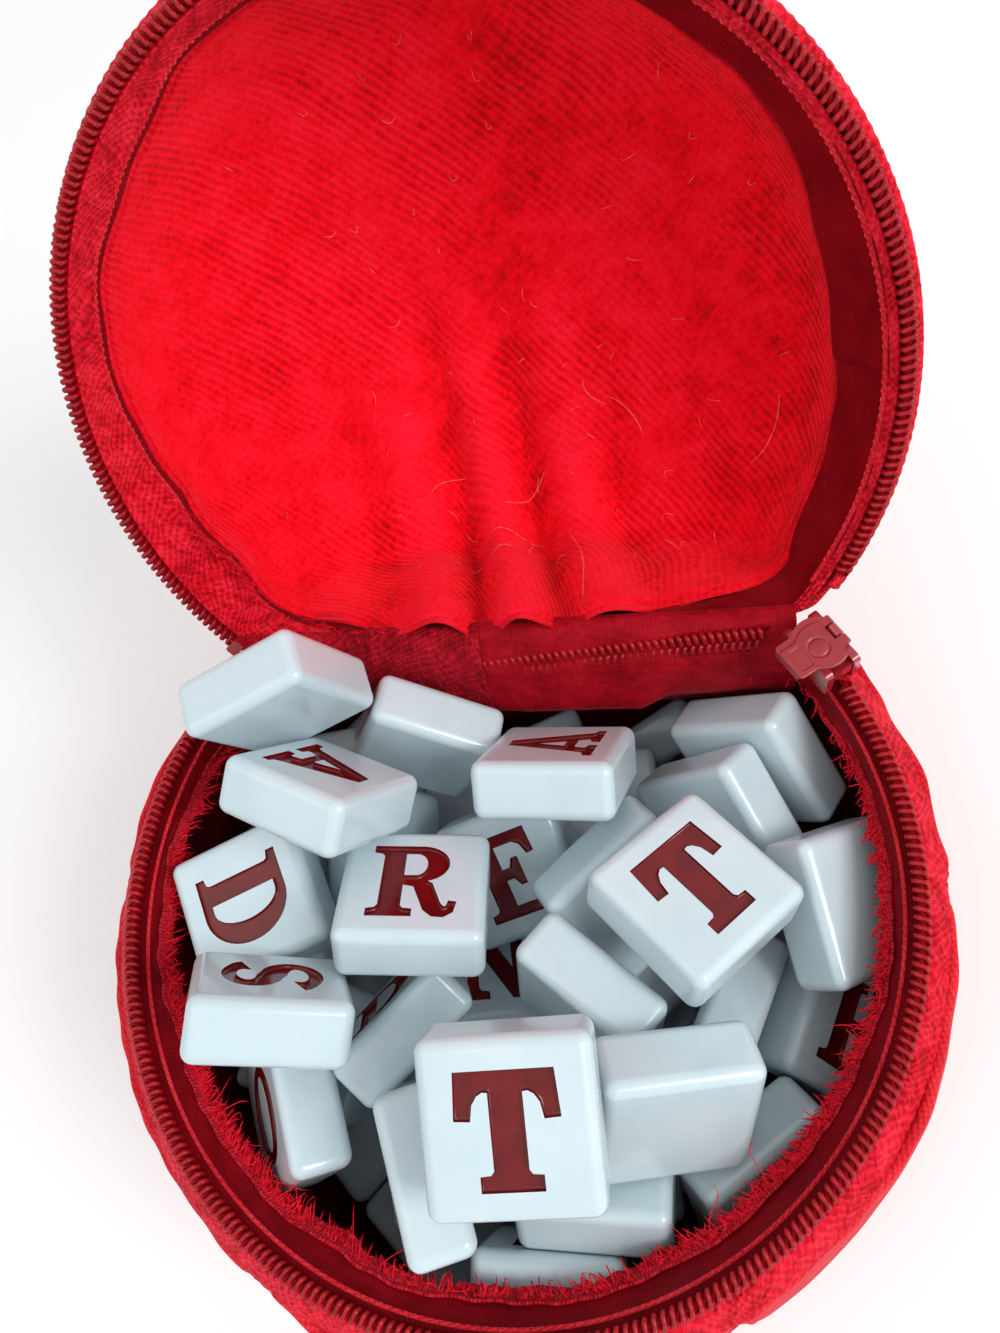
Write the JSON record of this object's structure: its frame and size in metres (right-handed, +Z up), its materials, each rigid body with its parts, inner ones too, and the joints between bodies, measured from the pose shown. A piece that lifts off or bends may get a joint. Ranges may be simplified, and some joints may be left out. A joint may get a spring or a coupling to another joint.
{
  "type": "travel word tile game case",
  "caption": "Soft zipped clamshell pouch with a hinged plush-lined lid, standing open and filled with loose plastic letter tiles.",
  "frame": {"origin": "centre of the flat bottom, on the surface it stands on, below the centre of the round rim", "axes": "+Z up, the lid's hinge at the back (+Y), the open front towards -Y"},
  "size_m": [0.118, 0.1504, 0.1316],
  "materials": {
    "satin_twill": "satin weave twill, light pile",
    "plush": "short plush with diagonal ribs",
    "dark_lining": "smooth lining cloth",
    "zip_tape": "knitted zip tape",
    "zip_coil": "nylon coil",
    "slider_paint": "gloss paint",
    "pull_paint": "satin paint",
    "steel_pin": "painted over",
    "tile_plastic": "glossy white with dark red letters pressed in"
  },
  "bodies": {
    "pouch_base": {"base_facing": "dark_lining", "base_lining": "dark_lining", "base_panel_1": "satin_twill", "base_panel_2": "satin_twill", "base_panel_3": "satin_twill", "base_panel_4": "satin_twill", "base_panel_5": "satin_twill", "base_panel_6": "satin_twill", "base_patch": "satin_twill", "base_zip_stop": "zip_coil", "base_zip_tape": "zip_tape", "base_zip_teeth": "zip_coil", "hinge_chain": "zip_coil", "hinge_strip": "satin_twill", "tiles_heap_back": "tile_plastic", "tiles_heap_front": "tile_plastic", "tiles_lower_layers": "tile_plastic"},
    "pouch_lid": {"lid_panel_1": "satin_twill", "lid_panel_2": "satin_twill", "lid_panel_3": "satin_twill", "lid_panel_4": "satin_twill", "lid_panel_5": "satin_twill", "lid_panel_6": "satin_twill", "lid_patch": "satin_twill", "lid_plush_lining": "plush", "lid_zip_stop": "zip_coil", "lid_zip_tape": "zip_tape", "lid_zip_teeth": "zip_coil"},
    "zip_slider": {"slider_body": "slider_paint", "pull_pin": "steel_pin"},
    "zip_pull": {"pull_tab": "pull_paint"},
    "letter_tile_a_back": {"tile_a_back": "tile_plastic"},
    "letter_tile_a_left": {"tile_a_left": "tile_plastic"},
    "letter_tile_d": {"tile_d": "tile_plastic"},
    "letter_tile_r": {"tile_r": "tile_plastic"},
    "letter_tile_s": {"tile_s": "tile_plastic"},
    "letter_tile_t_front": {"tile_t_front": "tile_plastic"},
    "letter_tile_t_right": {"tile_t_right": "tile_plastic"},
    "letter_tile_top_left": {"tile_top_left": "tile_plastic"}
  },
  "joints": [
    {"name": "lid_fold", "type": "hinge", "parent": "pouch_base", "child": "pouch_lid", "pos_m": [0, 0.0327, 0.058], "axis": [-1, 0, 0], "range_deg": [-120.5, 22], "deforming": ["hinge_strip"]},
    {"name": "slider_travel", "type": "hinge", "parent": "pouch_base", "child": "zip_slider", "pos_m": [0, 0, 0.058], "axis": [0, 0, -1], "range_deg": [0, 245]},
    {"name": "pull_flip", "type": "hinge", "parent": "zip_slider", "child": "zip_pull", "pos_m": [0.04419, 0.03046, 0.0619], "axis": [-0.5676, 0.8233, 0], "range_deg": [0, 170]},
    {"name": "tile_a_back_lift", "type": "slide", "parent": "pouch_base", "child": "letter_tile_a_back", "axis": [0, 0, 1], "range_m": [0, 0.045]},
    {"name": "tile_a_left_lift", "type": "slide", "parent": "letter_tile_r", "child": "letter_tile_a_left", "axis": [0, 0, 1], "range_m": [0, 0.045]},
    {"name": "tile_d_lift", "type": "slide", "parent": "pouch_base", "child": "letter_tile_d", "axis": [0, 0, 1], "range_m": [0, 0.045]},
    {"name": "tile_r_lift", "type": "slide", "parent": "letter_tile_s", "child": "letter_tile_r", "axis": [0, 0, 1], "range_m": [0, 0.045]},
    {"name": "tile_s_lift", "type": "slide", "parent": "letter_tile_d", "child": "letter_tile_s", "axis": [0, 0, 1], "range_m": [0, 0.045]},
    {"name": "tile_t_front_lift", "type": "slide", "parent": "pouch_base", "child": "letter_tile_t_front", "axis": [0, 0, 1], "range_m": [0, 0.045]},
    {"name": "tile_t_right_lift", "type": "slide", "parent": "pouch_base", "child": "letter_tile_t_right", "axis": [0, 0, 1], "range_m": [0, 0.045]},
    {"name": "tile_top_left_lift", "type": "slide", "parent": "letter_tile_a_left", "child": "letter_tile_top_left", "axis": [0, 0, 1], "range_m": [0, 0.045]}
  ]
}
